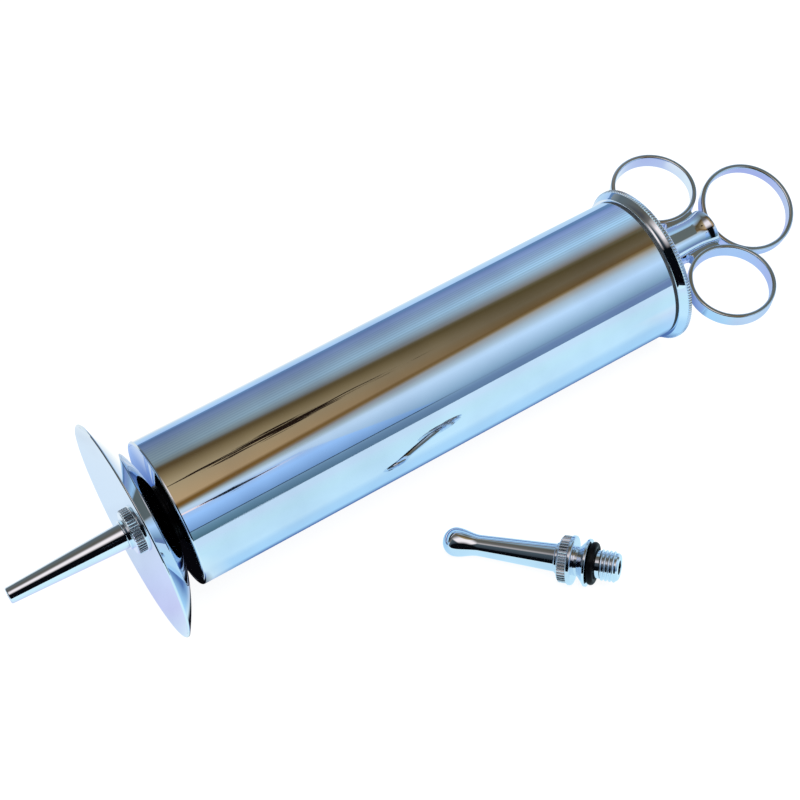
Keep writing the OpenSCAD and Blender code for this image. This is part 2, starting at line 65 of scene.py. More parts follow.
# Barrel: a drawn brass tube, turned true, plated and buffed to a mirror. The front is closed by a flat
# disc let into its end, with a brass bush in the middle that takes the nozzle's thread.
def rounded(corners, soft=0.12):
    """Outline of (place, radius, rounding) with its edges rounded: points with their outward directions.
    A rounding of 0 is a point on a smooth curve."""
    nearly_straight, arc_step, side_share = radians(179.5), radians(18), 0.48
    if sum(a[0] * b[1] - b[0] * a[1] for a, b in zip(corners, corners[1:] + corners[:1])) < 0:
        corners = corners[::-1]
    outline = []
    for i, corner in enumerate(corners):
        three = (corner, corners[i - 1], corners[(i + 1) % len(corners)])
        here, before, after = (Vector(c[:2]) for c in three)
        rounding = corner[2] if len(corner) > 2 else soft
        back, on = (before - here).normalized(), (after - here).normalized()
        opening = back.angle(on)
        if rounding == 0 or opening > nearly_straight:
            along = on - back
            if here.y == 0:
                along = on if before.y == 0 else -back
            along.normalize()
            outline.append((here, Vector((along.y, -along.x))))
            continue
        room = side_share * min((before - here).length, (after - here).length)
        cut = min(rounding / tan(opening / 2), room)
        rounding = cut * tan(opening / 2)
        centre = here + (back + on).normalized() * rounding / sin(opening / 2)
        convex = 1 if back.cross(on) < 0 else -1
        start = here + back * cut - centre
        sweep, first = convex * (pi - opening), atan2(start.y, start.x)
        steps = max(2, ceil((pi - opening) / arc_step))
        for k in range(steps + 1):
            a = first + sweep * k / steps
            away = Vector((cos(a), sin(a)))
            outline.append((centre + away * rounding, away * convex))
    return outline


def piece(name, points, outward, faces, place, finish, body):
    """A finished mesh in its place, smooth by its own outward directions, riding on a body"""
    mesh = bpy.data.meshes.new(name)
    mesh.from_pydata([place @ (Vector(p) * mm) for p in points], [], faces)
    mesh.materials.append(finish)
    mesh.shade_smooth()
    turn = place.to_3x3()
    mesh.normals_split_custom_set_from_vertices([(turn @ Vector(n)).normalized() for n in outward])
    thing = bpy.data.objects.new(name, mesh)
    scene.collection.objects.link(thing)
    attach(thing, body)
    return thing


def turned(name, corners, place, finish, body, steps=144, soft=0.12):
    """A piece turned about its own X axis"""
    outline = rounded(corners, soft)
    points, outward, rows = [], [], []
    for (x, r), (along, out) in outline:
        count = 1 if r == 0 else steps
        rows.append([len(points) + k % count for k in range(steps + 1)])
        for k in range(count):
            a = 2 * pi * k / steps
            points.append((x, r * cos(a), r * sin(a)))
            outward.append((along, out * cos(a), out * sin(a)))
    faces = []
    for row, after in zip(rows, rows[1:] + rows[:1]):
        if row[0] == row[1] and after[0] == after[1]:
            continue
        for k in range(steps):
            corner = [row[k], after[k], after[k + 1], row[k + 1]]
            faces.append([c for i, c in enumerate(corner) if c not in corner[:i]])
    return piece(name, points, outward, faces, place, finish, body)


def shader(name):
    """A new finish: its node tree and its Principled shader"""
    finish = bpy.data.materials.new(name)
    finish.use_nodes = True
    return finish, finish.node_tree, finish.node_tree.nodes["Principled BSDF"]


def own_axes(tree, place):
    """The piece's own coordinates in metres, from Object coordinates"""
    where = tree.nodes.new("ShaderNodeTexCoord")
    own = tree.nodes.new("ShaderNodeMapping")
    inverse = place.inverted()
    own.inputs["Location"].default_value = inverse.translation
    own.inputs["Rotation"].default_value = inverse.to_euler()
    tree.links.new(where.outputs["Object"], own.inputs["Vector"])
    return own.outputs["Vector"]


def grain(tree, where, scale, detail=2.0, stretch=(1, 1, 1)):
    """Noise of that many grains to the metre, stretched along the piece's axes"""
    spread = tree.nodes.new("ShaderNodeMapping")
    spread.inputs["Scale"].default_value = stretch
    noise = tree.nodes.new("ShaderNodeTexNoise")
    noise.inputs["Scale"].default_value = scale
    noise.inputs["Detail"].default_value = detail
    tree.links.new(where, spread.inputs["Vector"])
    tree.links.new(spread.outputs["Vector"], noise.inputs["Vector"])
    return noise.outputs["Fac"]


def between(tree, value, low, high, out_low=0, out_high=1):
    """The value from low to high turned into out_low to out_high, and held at both ends"""
    node = tree.nodes.new("ShaderNodeMapRange")
    limits = {"From Min": low, "From Max": high, "To Min": out_low, "To Max": out_high}
    for socket, number in limits.items():
        node.inputs[socket].default_value = number
    tree.links.new(value, node.inputs["Value"])
    return node.outputs["Result"]


def feed(tree, socket, value):
    """Links a socket to an output, or sets it to a number, a vector or a colour"""
    if isinstance(value, bpy.types.NodeSocket):
        tree.links.new(value, socket)
    elif socket.type == "RGBA":
        socket.default_value = (*value, 1)
    else:
        socket.default_value = value


def maths(tree, kind, *values):
    """One step of arithmetic on numbers and outputs"""
    node = tree.nodes.new("ShaderNodeMath")
    node.operation = kind
    for socket, value in zip(node.inputs, values):
        feed(tree, socket, value)
    return node.outputs["Value"]


def blended(tree, factor, first, second):
    """Colour that goes from first to second as the factor goes from 0 to 1. The node's inputs 6 and 7 and its
    output 2 are the ones for colours."""
    node = tree.nodes.new("ShaderNodeMix")
    node.data_type = "RGBA"
    factor_in, first_in, second_in = (node.inputs[i] for i in (0, 6, 7))
    for socket, value in ((factor_in, factor), (first_in, first), (second_in, second)):
        feed(tree, socket, value)
    return node.outputs[2]


def bumped(tree, surface, *layers):
    """Bump layers of (height, depth in metres), laid one over the other"""
    under = None
    for height, depth in layers:
        bump = tree.nodes.new("ShaderNodeBump")
        bump.inputs["Distance"].default_value = depth
        tree.links.new(height, bump.inputs["Height"])
        if under:
            tree.links.new(under, bump.inputs["Normal"])
        under = bump.outputs["Normal"]
    tree.links.new(under, surface.inputs["Normal"])


plate_colour, plate_haze = (0.79, 0.86, 0.95), (0.70, 0.76, 0.86)


def plating(name, place, spun=False, nicks=False, satin=0):
    """Polished plating: the buff's fine lines round the piece, a little haze, sparse hairline scratches"""
    swell_depth, line_depth, scratch_depth, nick_depth = 1.6e-5, 2.5e-7, -3e-7, -6e-5
    scratch_rough, nick_rough, haze_rough = 0.09, 0.35, 0.03
    finish, tree, surface = shader(name)
    where = own_axes(tree, place)
    surface.inputs["Metallic"].default_value = 1
    haze = grain(tree, where, 45, 3)
    if spun:
        split = tree.nodes.new("ShaderNodeSeparateXYZ")
        tree.links.new(where, split.inputs["Vector"])
        y_squared, z_squared = (maths(tree, "POWER", split.outputs[axis], 2.0) for axis in "YZ")
        out = maths(tree, "SQRT", maths(tree, "ADD", y_squared, z_squared))
        join = tree.nodes.new("ShaderNodeCombineXYZ")
        tree.links.new(out, join.inputs["X"])
        lines = grain(tree, join.outputs["Vector"], 1400, 2)
    else:
        lines = grain(tree, where, 60, 3, (26, 1, 1))
    scratches = between(tree, grain(tree, where, 150, 1, (0.16, 9, 9)), 0.70, 0.78)
    worn = blended(tree, between(tree, haze, 0.42, 0.72), plate_colour, plate_haze)
    tree.links.new(worn, surface.inputs["Base Color"])
    buffed = between(tree, lines, 0.35, 0.75, 0.015, 0.05)
    rough = maths(tree, "ADD", buffed, maths(tree, "MULTIPLY", scratches, scratch_rough))
    rough = maths(tree, "ADD", rough, between(tree, haze, 0.5, 0.8, satin, satin + haze_rough))
    swell = grain(tree, where, 30, 1)
    layers = [(swell, swell_depth), (lines, line_depth), (scratches, scratch_depth)]
    if nicks:
        cells = tree.nodes.new("ShaderNodeTexVoronoi")
        cells.inputs["Scale"].default_value = 32
        tree.links.new(where, cells.inputs["Vector"])
        nick = between(tree, cells.outputs["Distance"], 0.008, 0.02, 1, 0)
        rough = maths(tree, "ADD", rough, maths(tree, "MULTIPLY", nick, nick_rough))
        layers.append((nick, nick_depth))
    tree.links.new(rough, surface.inputs["Roughness"])
    bumped(tree, surface, *layers)
    return finish


def turned_brass():
    """Bright turned brass, gone a little dull, with the tool's lines round it"""
    bright, tarnished = (0.78, 0.60, 0.30), (0.50, 0.35, 0.15)
    finish, tree, surface = shader("turned_brass")
    where = own_axes(tree, laid)
    surface.inputs["Metallic"].default_value = 1
    dull, lines = grain(tree, where, 220, 4), grain(tree, where, 90, 2, (30, 1, 1))
    colour = blended(tree, between(tree, dull, 0.38, 0.72), bright, tarnished)
    tree.links.new(colour, surface.inputs["Base Color"])
    tree.links.new(between(tree, dull, 0.3, 0.7, 0.16, 0.38), surface.inputs["Roughness"])
    bumped(tree, surface, (lines, 4e-6), (dull, 6e-6))
    return finish


def refinish(node, finish):
    """A CAD node that stays, in a better finish"""
    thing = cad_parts[node]
    thing.data.materials.clear()
    thing.data.materials.append(finish)


barrel_r, bore_r, barrel_len = 22.5, 21.3, 161.7
barrel_plating, plain_plating = plating("barrel_plating", laid, nicks=True), plating("buffed_plating", laid)
brass = turned_brass()
tube_outline = [(0, bore_r), (0, barrel_r, 0.8), (barrel_len, barrel_r, 0.2), (barrel_len, bore_r)]
barrel = turned("barrel", tube_outline, laid, barrel_plating, "barrel", steps=240)
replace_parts(barrel, "barrel_tube")
refinish("front_plate", plain_plating)
refinish("nozzle_socket", brass)


# Splash shield: sheet brass spun over a former into a shallow dish with a flat middle, then plated.
# A thin rubber washer sits behind its middle, and the nozzle's flange clamps both on the barrel's front.
def moulded_rubber(name, dark, light):
    """Moulded rubber with a faint bloom and a fine grain"""
    finish, tree, surface = shader(name)
    where = own_axes(tree, laid)
    bloom, pores = grain(tree, where, 400, 3), grain(tree, where, 5200, 2)
    tree.links.new(blended(tree, between(tree, bloom, 0.45, 0.8), dark, light), surface.inputs["Base Color"])
    tree.links.new(between(tree, bloom, 0.3, 0.7, 0.28, 0.5), surface.inputs["Roughness"])
    surface.inputs["Specular IOR Level"].default_value = 0.05
    bumped(tree, surface, (pores, 8e-6), (bloom, 1.5e-5))
    return finish


rubber = moulded_rubber("black_rubber", (0.001, 0.001, 0.0015), (0.005, 0.005, 0.006))
shield_rear, sheet, hole_r, flat_r, flat_front_r = -0.6, 0.7, 4.65, 9, 8.9
dish_centre, dish_r, flat_a, rim_a = -58.11, 58.21, radians(81.1), radians(55.05)
crease_rounding, rim_rounding = 3, 0.33


def dish_curve(radius, start, end):
    """Points on the dish's sphere from one angle to another"""
    steps = 24
    return [(dish_centre + radius * sin(a), radius * cos(a), 0)
            for a in (start + (end - start) * (k + 0.5) / steps for k in range(steps))]


def dish_rim(radius):
    """The dish's edge on one of its two faces"""
    return dish_centre + radius * sin(rim_a), radius * cos(rim_a), rim_rounding


dish_outline = [(shield_rear, hole_r), (shield_rear, flat_r, crease_rounding),
                *dish_curve(dish_r, flat_a, rim_a), dish_rim(dish_r),
                dish_rim(dish_r - sheet), *dish_curve(dish_r - sheet, rim_a, flat_a),
                (shield_rear - sheet, flat_front_r, crease_rounding), (shield_rear - sheet, hole_r)]
spun_plating = plating("spun_plating", laid, spun=True)
shield = turned("splash_dish", dish_outline, laid, spun_plating, "shield", steps=240, soft=0.1)
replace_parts(shield, "splash_shield")
refinish("shield_washer", rubber)


# Nozzles: each is a turned and plated brass base with a knurled wheel, a smooth lip, a neck, a flange and
# a threaded stub, and a tapered tube brazed into it. A rubber ring lies on the stub behind the flange.
def tree_of(name, **sizes):
    """A Geometry Nodes tree with named inputs, its first input being the object's own mesh"""
    tree = bpy.data.node_groups.new(name, "GeometryNodeTree")
    for label, kind in {"Geometry": "Geometry", **sizes}.items():
        tree.interface.new_socket(label, in_out="INPUT", socket_type="NodeSocket" + kind)
    tree.interface.new_socket("Geometry", in_out="OUTPUT", socket_type="NodeSocketGeometry")
    return tree, tree.nodes.new("NodeGroupInput"), tree.nodes.new("NodeGroupOutput")


def joined(tree, node, **links):
    """Feeds a node's inputs, by name, and gives its output"""
    for label, value in links.items():
        feed(tree, node.inputs[label.replace("_", " ")], value)
    return node.outputs[0]


def teeth_tree():
    """Copies the object's one tooth round the X axis"""
    tree, given, result = tree_of("straight_knurl", Teeth="Int", Finish="Material")
    node, size = tree.nodes.new, given.outputs
    seats = joined(tree, node("GeometryNodeMeshLine"), Count=size["Teeth"], Offset=(0, 0, 0))
    step = maths(tree, "DIVIDE", 2 * pi, size["Teeth"])
    angle = maths(tree, "MULTIPLY", node("GeometryNodeInputIndex").outputs[0], step)
    round_x = joined(tree, node("ShaderNodeCombineXYZ"), X=angle)
    turn = joined(tree, node("FunctionNodeEulerToRotation"), Euler=round_x)
    teeth = joined(tree, node("GeometryNodeInstanceOnPoints"), Points=seats, Instance=size["Geometry"],
                   Rotation=turn)
    whole = joined(tree, node("GeometryNodeRealizeInstances"), Geometry=teeth)
    done = joined(tree, node("GeometryNodeSetMaterial"), Geometry=whole, Material=size["Finish"])
    tree.links.new(done, result.inputs[0])
    return tree


def thread_tree():
    """Sweeps the object's own outline along a right-hand screw line about the X axis"""
    tree, given, result = tree_of("screw_thread", Turns="Float", Rise="Float", Radius="Float", Start="Vector",
                                  Finish="Material")
    node, size = tree.nodes.new, given.outputs
    line = joined(tree, node("GeometryNodeCurveSpiral"), Resolution=64, Rotations=size["Turns"],
                  Start_Radius=size["Radius"], End_Radius=size["Radius"], Height=size["Rise"], Reverse=True)
    steady = node("GeometryNodeSetCurveNormal")
    steady.mode = "Z_UP"
    line = joined(tree, steady, Curve=line)
    shape = joined(tree, node("GeometryNodeMeshToCurve"), Mesh=size["Geometry"])
    ridge = joined(tree, node("GeometryNodeCurveToMesh"), Curve=line, Profile_Curve=shape, Fill_Caps=True)
    lying = joined(tree, node("GeometryNodeTransform"), Geometry=ridge, Rotation=(0, pi / 2, 0),
                   Translation=size["Start"])
    whole = joined(tree, node("GeometryNodeRealizeInstances"), Geometry=lying)
    done = joined(tree, node("GeometryNodeSetMaterial"), Geometry=whole, Material=size["Finish"])
    tree.links.new(done, result.inputs[0])
    return tree


def grown(name, points, faces, edges, tree, place, body, **sizes):
    """The tree's result on a small mesh, as a plain mesh in its place, riding on a body"""
    seed = bpy.data.meshes.new(name + "_one")
    seed.from_pydata(points, edges, faces)
    thing = bpy.data.objects.new(name, seed)
    scene.collection.objects.link(thing)
    making = thing.modifiers.new("making", "NODES")
    making.node_group = tree
    for socket in tree.interface.items_tree:
        if socket.in_out == "INPUT" and socket.name in sizes:
            making[socket.identifier] = sizes[socket.name]
    bpy.context.view_layer.update()
    whole = bpy.data.meshes.new_from_object(thing.evaluated_get(bpy.context.evaluated_depsgraph_get()))
    thing.modifiers.clear()
    thing.data = whole
    whole.name = name
    whole.transform(place @ Matrix.Scale(mm, 4))
    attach(thing, body)
    return thing


knurl, screw = teeth_tree(), thread_tree()
knurl_plating = plating("knurl_plating", laid, satin=0.22)


def knurled(name, root, crest, teeth, x0, x1, place, body):
    """A straight knurl, which cutting left satin: V teeth with a narrow flat, sloped at both ends, their
    feet sunk in the piece"""
    high = crest - root
    foot, land, slope, sunk = pi * root / teeth * 1.02, 0.08 * high / 0.35, 0.6 * high, root - 0.15
    tiers = ((x0, x1, foot, sunk), (x0, x1, foot, root), (x0 + slope, x1 - slope, land, crest))
    points = [corner for front, rear, half, r in tiers
              for corner in ((front, -half, r), (front, half, r), (rear, half, r), (rear, -half, r))]
    sides = [(low + k, low + k + 4, low + (k + 1) % 4 + 4, low + (k + 1) % 4)
             for low in (0, 4) for k in range(4)]
    faces = [(0, 1, 2, 3), *sides, (8, 11, 10, 9)]
    return grown(name, points, faces, [], knurl, place, body, Teeth=teeth, Finish=knurl_plating)


def threaded(name, root, crest, pitch, x0, turns, place, finish, body):
    """A thread's ridge with rounded crest, its foot sunk in the piece"""
    half, top, sunk = 0.44 * pitch, crest - root, 0.12
    shape = [(-sunk, -half), (0.25 * top, -0.3 * pitch), (0.9 * top, -0.1 * pitch), (top, 0),
             (0.9 * top, 0.1 * pitch), (0.25 * top, 0.3 * pitch), (-sunk, half)]
    points = [(out, along, 0) for out, along in shape]
    edges = [(i, (i + 1) % len(points)) for i in range(len(points))]
    return grown(name, points, [], edges, screw, place, body, Turns=turns, Rise=pitch * turns, Radius=root,
                 Start=(x0, 0, 0), Finish=finish)


base_len, tube_seat, seat_r, base_bore_r = 9.5, 5, 3.0, 2.05
bead_r, wheel_r, lip_r, neck_r, flange_r, stub_r = 4.5, 6.4, 7.15, 4.3, 6.85, 4.0
wheel_front, wheel_rear, lip_rear, neck_rear, flange_front = -8.3, -5.5, -4.1, -2.8, -0.7
chamfer_front, stub_end, stub_end_r = 8.25, 8.8, 3.5
wheel_crest_r, wheel_teeth, teeth_front, teeth_rear = 6.8, 44, -8.05, -5.3
stub_crest_r, stub_pitch, stub_thread_front, stub_turns = 4.45, 1.15, 3.2, 4.0


def nozzle_base(name, place, finish, body):
    """Base from the flange's rear face at 0: tube's socket, bead, wheel, lip, neck, flange and stub"""
    outline = [(-base_len, seat_r), (-base_len, bead_r, 0.3), (wheel_front, bead_r, 0.1),
               (wheel_front, wheel_r, 0.25), (wheel_rear, wheel_r, 0.05), (wheel_rear, lip_r, 0.6),
               (lip_rear, lip_r, 0.6), (lip_rear, neck_r, 0.15), (neck_rear, neck_r, 0.3),
               (flange_front, flange_r, 0.15), (0, flange_r, 0.15), (0, stub_r, 0.1),
               (chamfer_front, stub_r, 0.3), (stub_end, stub_end_r, 0.3), (stub_end, base_bore_r, 0.15),
               (tube_seat - base_len, base_bore_r), (tube_seat - base_len, seat_r)]
    base = turned(name + "_base", outline, place, finish, body, steps=128, soft=0.08)
    knurled(name + "_wheel_teeth", wheel_r, wheel_crest_r, wheel_teeth, teeth_front, teeth_rear, place, body)
    threaded(name + "_thread", stub_r, stub_crest_r, stub_pitch, stub_thread_front, stub_turns, place, finish,
             body)
    return base


def rubber_ring(name, x, place, body):
    """A round-section rubber ring whose rear touches x"""
    section_r, middle_r = 1.05, 5.15
    section = [(x - section_r + section_r * cos(a), middle_r + section_r * sin(a), 0)
               for a in (k * pi / 10 for k in range(20))]
    ring = turned(name, section, place, rubber, body, steps=96)
    return ring


tip_bore_r, tip_bore_len = 1.1, 4


def nozzle_tube(name, outside, length, place, finish, body):
    """A tube from its tip at 0: its outside, its foot in the base, and its tapered bore"""
    inside = [(length, seat_r), (length + tube_seat, seat_r), (length + tube_seat, base_bore_r),
              (tip_bore_len, tip_bore_r)]
    tube = turned(name, outside + inside, place, finish, body, steps=128)
    return tube


flange_place, straight_len, straight_tip_r, straight_foot_r, shield_front = -3.5, 35, 2.4, 3.8, -1.3
straight_flange = laid @ Matrix.Translation((flange_place * mm, 0, 0))
straight_tip = laid @ Matrix.Translation(((flange_place - base_len - straight_len) * mm, 0, 0))
taper = [(0, tip_bore_r), (0, straight_tip_r, 0.5), (straight_len, straight_foot_r)]
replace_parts(nozzle_base("straight", straight_flange, plain_plating, "nozzle"), "straight_nozzle_base")
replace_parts(nozzle_tube("straight_tube", taper, straight_len, straight_tip, plain_plating, "nozzle"),
            "straight_nozzle_tube")
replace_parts(rubber_ring("straight_ring", shield_front, laid, "shield"), "straight_nozzle_seal")

# The spare nozzle lies on its lip and its olive, so that its axis rises towards the base. The olive is a
# quarter of an ellipse up to its widest place, and half a wave from there down to the tube's thinnest.
olive_len, olive_at, olive_r, thin_r, thin_distance, olive_foot_r = 34, 3.9, 4.25, 3.1, 7.1, 4.05
nose_at, nose_r, olive_rest = 0.29, 1.5, 4.27
spare_x, spare_y, spare_turn, spare_ring_rear = 66.8, -36.3, radians(-49.1), 2.15
lip_middle = olive_len + base_len + (wheel_rear + lip_rear) / 2
spare_rise = asin((lip_r - olive_r) / (lip_middle - olive_at))
tip_height = olive_rest / cos(spare_rise) - olive_at * sin(spare_rise)
beside = (Matrix.Translation(((front_x + spare_x) * mm, (axis_y + spare_y) * mm, tip_height * mm))
          @ Matrix.Rotation(spare_turn, 4, "Z") @ Matrix.Rotation(-spare_rise, 4, "Y"))
spare_plating = plating("spare_plating", beside)
olive_nose = [(olive_at * (1 - cos(a)), olive_r * sin(a), 0)
              for a in (radians(25 + 65 * k / 12) for k in range(13))]
olive_run = [(olive_at + thin_distance * t, (olive_r + thin_r + (olive_r - thin_r) * cos(pi * t)) / 2, 0)
             for t in (k / 16 for k in range(1, 17))]
olive = [(nose_at, tip_bore_r, 0.1), (nose_at, nose_r, 0.2), *olive_nose, *olive_run,
         (olive_len, olive_foot_r)]
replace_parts(nozzle_tube("olive_tube", olive, olive_len, beside, spare_plating, "spare_nozzle"),
            "olive_nozzle_tube")
spare_flange = beside @ Matrix.Translation(((olive_len + base_len) * mm, 0, 0))
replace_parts(nozzle_base("olive", spare_flange, spare_plating, "spare_nozzle"), "olive_nozzle_base")
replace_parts(rubber_ring("olive_ring", spare_ring_rear, spare_flange, "spare_nozzle"), "olive_nozzle_seal")


# Cap: turned from bar, with a low swelling cone next to the barrel, a fine straight knurl round its rim and
# a threaded skirt that screws into the barrel's end on a thin rubber gasket.
cap_front, cap_rear, cap_edge_r, rear_edge_r, post_r = 162.3, 166.3, 23.35, 24.25, 7.5
skirt_front, skirt_bore_r, skirt_r = 153.7, 18.22, 20.62
skirt_crest_r, cap_pitch, cap_thread_front, cap_turns = 21.22, 1.5, 155.3, 3.8
swell_front, swell_len, swell_r, swell_rise, rim_rear, rim_r = 162.6, 2.1, 23.4, 1.15, 166, 24.55
rim_root_r, rim_crest_r, rim_teeth, knurl_front, knurl_rear = 24.5, 25, 166, 164.65, 166.05
swell = [(swell_front + swell_len * t, swell_r + swell_rise * t * (1.25 - 0.25 * t), 0)
         for t in (k / 10 for k in range(1, 11))]
cap_outline = [(cap_front, post_r), (cap_front, skirt_bore_r), (skirt_front, skirt_bore_r),
               (skirt_front, skirt_r), (cap_front, skirt_r), (cap_front, cap_edge_r, 0.28), *swell,
               (rim_rear, rim_r, 0.1), (cap_rear, rear_edge_r, 0.15), (cap_rear, post_r)]
cap = turned("cap", cap_outline, laid, plain_plating, "cap", steps=288)
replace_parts(cap, "screw_cap")
knurled("cap_rim_teeth", rim_root_r, rim_crest_r, rim_teeth, knurl_front, knurl_rear, laid, "cap")
threaded("cap_thread", skirt_r, skirt_crest_r, cap_pitch, cap_thread_front, cap_turns, laid, plain_plating,
         "cap")
grey_rubber = moulded_rubber("grey_rubber", (0.035, 0.04, 0.045), (0.07, 0.075, 0.08))
refinish("cap_gasket", grey_rubber)


# Guide post: turned to a waist between its foot and its flared end, and fixed in the cap. It guides the
# rod, and a nut inside the cap presses a leather packing round the rod.
def oiled_leather():
    """Dark oiled leather: pores, creases and paler rubbed spots"""
    oiled, rubbed = (0.10, 0.045, 0.02), (0.26, 0.14, 0.07)
    finish, tree, surface = shader("oiled_leather")
    where = own_axes(tree, laid)
    cells = tree.nodes.new("ShaderNodeTexVoronoi")
    cells.inputs["Scale"].default_value = 2600
    tree.links.new(where, cells.inputs["Vector"])
    patches = grain(tree, where, 160, 4)
    colour = blended(tree, between(tree, patches, 0.35, 0.7), oiled, rubbed)
    tree.links.new(colour, surface.inputs["Base Color"])
    tree.links.new(between(tree, patches, 0.3, 0.7, 0.42, 0.68), surface.inputs["Roughness"])
    bumped(tree, surface, (cells.outputs["Distance"], 6e-5), (patches, 5e-5))
    return finish


leather = oiled_leather()
post_front, foot_rear, post_rear, packing_rear = 158.3, 166.7, 191.3, 165.8
packing_r, foot_r, flare_r, rod_bore_r = 5.2, 9.5, 7, 3.08
fillet_x, fillet_r, ring_x, waist_len, waist_r, waist_swing, flare_len = 169.3, 2.6, 185.4, 16.1, 6, 0.45, 5.1
fillet = [(fillet_x + fillet_r * sin(a), foot_r + fillet_r * cos(a), 0)
          for a in (radians(-90 - 9 * k) for k in range(1, 11))]
waist = [(ring_x - waist_len * t, waist_r + waist_swing * (1 - cos(pi * t)), 0)
         for t in (1 - k / 16 for k in range(1, 17))]
flare = [(ring_x + flare_len * t, waist_r + t * t, 0) for t in (k / 8 for k in range(1, 8))]
post_outline = [(post_front, packing_r), (post_front, post_r), (cap_rear, post_r, 0.05), (cap_rear, foot_r),
                (foot_rear, foot_r, 0.05), *fillet, *waist, *flare, (post_rear, flare_r, 0.8),
                (post_rear, rod_bore_r), (packing_rear, rod_bore_r), (packing_rear, packing_r)]
post = turned("post", post_outline, laid, plain_plating, "cap")
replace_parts(post, "guide_post")
refinish("rod_packing", leather)
refinish("packing_nut", brass)


# Finger rings: flat strip bent into a ring, its edges rounded, brazed to the post's waist with a short web
# on each side of it.
def strip_ring(name, inner, outer, wide, edge, place, finish, body):
    """A ring of flat strip about its own Z axis"""
    half = wide / 2
    outline = [(-half, inner, edge), (half, inner, edge), (half, outer, edge), (-half, outer, edge)]
    ring = turned(name, outline, place @ Matrix.Rotation(-pi / 2, 4, "Y"), finish, body, steps=192)
    return ring


def web(name, side):
    """The web: a block with a round hollow down each side, where its fillets to waist and ring meet"""
    full_width, hollow_r, thick, edge = 6.03, 1.0, 2.1, 0.3
    foot_y, web_len, hollow_y, hollow_end = 5.2, 2.72, 7, 0.97
    rows, corner_points = 14, 4
    row_points = 4 * corner_points
    points, outward, faces = [], [], []
    for i in range(rows + 1):
        y = foot_y + web_len * i / rows
        off_hollow = min(hollow_r, abs(y - hollow_y)) if y > hollow_y - hollow_r else hollow_r
        depth = sqrt(hollow_r ** 2 - off_hollow ** 2)
        width = full_width - depth
        slope = 0 if off_hollow > hollow_end else (y - hollow_y) / depth
        for cx, cz, first in ((1, 1, 0), (-1, 1, 90), (-1, -1, 180), (1, -1, 270)):
            for k in range(corner_points):
                a = radians(first + 90 * k / (corner_points - 1))
                points.append((ring_x + cx * (width - edge) + edge * cos(a), side * y,
                               cz * (thick - edge) + edge * sin(a)))
                outward.append((cos(a), side * -slope * abs(cos(a)), sin(a)))
    for i in range(rows):
        for k in range(row_points):
            a, b = i * row_points + k, i * row_points + (k + 1) % row_points
            faces.append([a, a + row_points, b + row_points, b])
    faces += [list(range(row_points)), [rows * row_points + k for k in range(row_points)][::-1]]
    if side < 0:
        faces = [face[::-1] for face in faces]
    thing = piece(name, points, outward, faces, laid, plain_plating, "cap")


finger_y, finger_in, finger_out, finger_wide = 20.3, 12.2, 13.6, 4.8
for hand, side in (("left", 1), ("right", -1)):
    ring_place = laid @ Matrix.Translation((ring_x * mm, side * finger_y * mm, 0))
    ring = strip_ring("finger_strip_" + hand, finger_in, finger_out, finger_wide, 0.45, ring_place,
                      plating("finger_plating_" + hand, ring_place), "cap")
    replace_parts(ring, "finger_ring_" + hand)
    web("finger_web_" + hand, side)


# Plunger: a plated rod with the thumb ring riveted on its rear end. Its front carries the piston, two cup
# leathers between brass plates, held by a nut.
rod_front, piston_rear, rod_r, rod_end_r = 10, 26, 3, 2.1
collar_front, collar_rear, collar_r, collar_bore_r = 191.6, 193.2, 4.2, 2.0
rod_outline = [(rod_front, 0, 0), (rod_front, rod_end_r, 0.3), (piston_rear, rod_end_r), (piston_rear, rod_r),
               (collar_front, rod_r), (collar_front, rod_end_r), (collar_rear, rod_end_r),
               (collar_rear, 0, 0)]
rod = turned("rod", rod_outline, laid, plain_plating, "plunger", steps=96)
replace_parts(rod, "plunger_rod")

thumb_x, thumb_in, thumb_out, thumb_wide, thumb_roll = 207.2, 13.7, 15.2, 3.8, radians(11.6)
rolled = laid @ Matrix.Rotation(thumb_roll, 4, "X")
thumb_place = rolled @ Matrix.Translation((thumb_x * mm, 0, 0))
thumb = strip_ring("thumb_strip", thumb_in, thumb_out, thumb_wide, 0.5, thumb_place,
                   plating("thumb_plating", thumb_place), "plunger")
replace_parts(thumb, "thumb_ring")

# The neck's rear face is hollowed to the ring's curve, and sunk a little into the strip.
neck_outline = [(collar_front, collar_bore_r), (collar_front, collar_r, 0.2), (collar_rear, collar_r, 0.15),
                (collar_rear, collar_bore_r)]
neck = turned("thumb_neck", neck_outline, rolled, plain_plating, "plunger", steps=96)
collar_middle, ring_overlap, collar_overlap = 192.4, 0.3, 0.2
for vertex in neck.data.vertices:
    own = rolled.inverted() @ vertex.co / mm
    saddle = thumb_x - sqrt((thumb_out - ring_overlap) ** 2 - own.y ** 2)
    if own.x > collar_middle:
        own.x += saddle - (collar_rear - collar_overlap)
        vertex.co = rolled @ (own * mm)
for node in ("piston_nut", "piston_front_plate", "piston_spacer", "piston_rear_plate"):
    refinish(node, brass)
for node in ("piston_front_cup", "piston_rear_cup"):
    refinish(node, leather)


# Studio: a pale floor, one wide soft lamp, and the folds of a white tent with an open top, which only the
# polished metal sees. Their colours are as they show in the plating.
def seen(red, green, blue):
    """A surrounding's colour, from the colour that it shows in the plating"""
    shown = [((c / 255 + 0.055) / 1.055) ** 2.4 for c in (red, green, blue)]
    return tuple(c / tint for c, tint in zip(shown, plate_colour))


def bands(tree, value, low, high, *stops):
    """A colour ramp over the value from low to high, from (place, colour) stops"""
    ramp = tree.nodes.new("ShaderNodeValToRGB")
    tree.links.new(between(tree, value, low, high), ramp.inputs["Fac"])
    points = ramp.color_ramp.elements
    while len(points) < len(stops):
        points.new(0.5)
    for point, (place, colour) in zip(points, stops):
        point.position = (place - low) / (high - low)
        point.color = (*colour, 1)
    return ramp.outputs["Color"]


